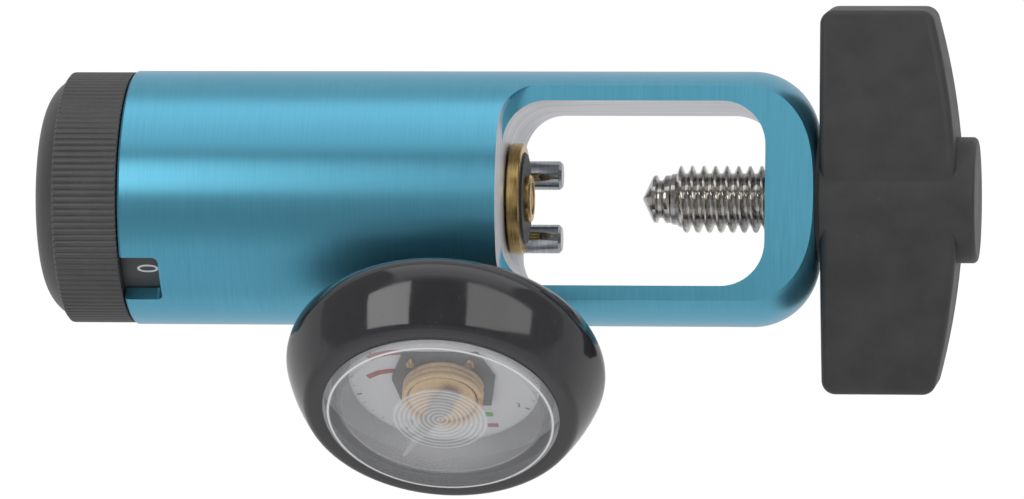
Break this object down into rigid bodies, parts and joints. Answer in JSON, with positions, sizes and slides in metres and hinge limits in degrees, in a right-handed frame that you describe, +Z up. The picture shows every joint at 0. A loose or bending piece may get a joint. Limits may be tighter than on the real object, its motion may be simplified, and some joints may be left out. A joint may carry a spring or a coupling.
{
  "type": "oxygen regulator",
  "caption": "Yoke-style oxygen regulator for a small gas cylinder, with a pin-indexed inlet, T-handle clamp screw, click-stop flow selector, hose barb and booted contents gauge.",
  "frame": {"origin": "centre of the yoke's seat wall, where the cylinder's valve post is pressed against the inlet, on the body's axis", "axes": "+X along the body towards the T-handle, +Z up along the valve post away from the cylinder (the index pins lie on the -Z side), +Y completes the right-handed set; the gauge leans from +Z towards -Y"},
  "size_m": [0.1306, 0.0677, 0.0696],
  "materials": {
    "anodised_blue": "satin anodised",
    "steel": "machined",
    "brass": "machined",
    "bronze": "sintered",
    "black_plastic": "moulded, fine texture",
    "black_rubber": "smooth, glossy",
    "seal_rubber": "smooth",
    "white_plastic": "moulded",
    "clear_plastic": "clear, polished",
    "dial_white": "painted, printed",
    "dark_metal": "blackened"
  },
  "bodies": {
    "regulator": {"yoke_body": "anodised_blue", "index_pins": "steel", "inlet_nipple": "brass", "inlet_filter": "bronze", "seal_ring": "brass", "seal_washer": "seal_rubber", "nozzle_insert": "brass", "piston_spring": "steel", "flow_housing": "brass", "housing_oring": "seal_rubber", "port_oring": "seal_rubber", "detent_ball": "steel", "detent_spring": "steel", "outlet_barb": "brass", "gauge_stem": "brass", "gauge_case": "steel", "gauge_boot": "black_rubber", "gauge_lens": "clear_plastic", "gauge_dial": "dial_white", "coil_bracket": "dark_metal", "bracket_screws": "brass", "bourdon_coil": "brass"},
    "selector": {"selector_knob": "black_plastic", "selector_spindle": "steel", "spindle_clip": "steel", "spindle_oring": "seal_rubber", "orifice_disc": "steel"},
    "washer": {"thrust_washer": "black_plastic"},
    "clamp": {"tee_screw": "steel", "tee_handle": "black_plastic"},
    "pointer": {"gauge_pointer": "dark_metal"},
    "piston": {"piston": "brass", "piston_seat": "white_plastic", "piston_oring": "seal_rubber", "stem_oring": "seal_rubber"}
  },
  "joints": [
    {"name": "selector_turn", "type": "hinge", "parent": "regulator", "child": "selector", "pos_m": [0, 0, 0], "axis": [1, 0, 0], "range_deg": [0, 330]},
    {"name": "screw_travel", "type": "slide", "parent": "regulator", "child": "washer", "axis": [1, 0, 0], "range_m": [0, 0.01429]},
    {"name": "screw_turn", "type": "hinge", "parent": "washer", "child": "clamp", "pos_m": [0, 0, 0], "axis": [1, 0, 0], "range_deg": [0, 3245]},
    {"name": "pointer_turn", "type": "hinge", "parent": "regulator", "child": "pointer", "pos_m": [-0.00635, 0, 0], "axis": [0, 0.8251, -0.565], "range_deg": [0, 270]},
    {"name": "piston_slide", "type": "slide", "parent": "regulator", "child": "piston", "axis": [1, 0, 0], "range_m": [0, 0.0008], "stiffness_N_per_m": 5000, "springref_m": -0.004, "deforming": ["piston_spring"]}
  ],
  "couplings": [
    {"joint": "screw_turn", "follows": "screw_travel", "rad_per_m": 3957.9}
  ]
}
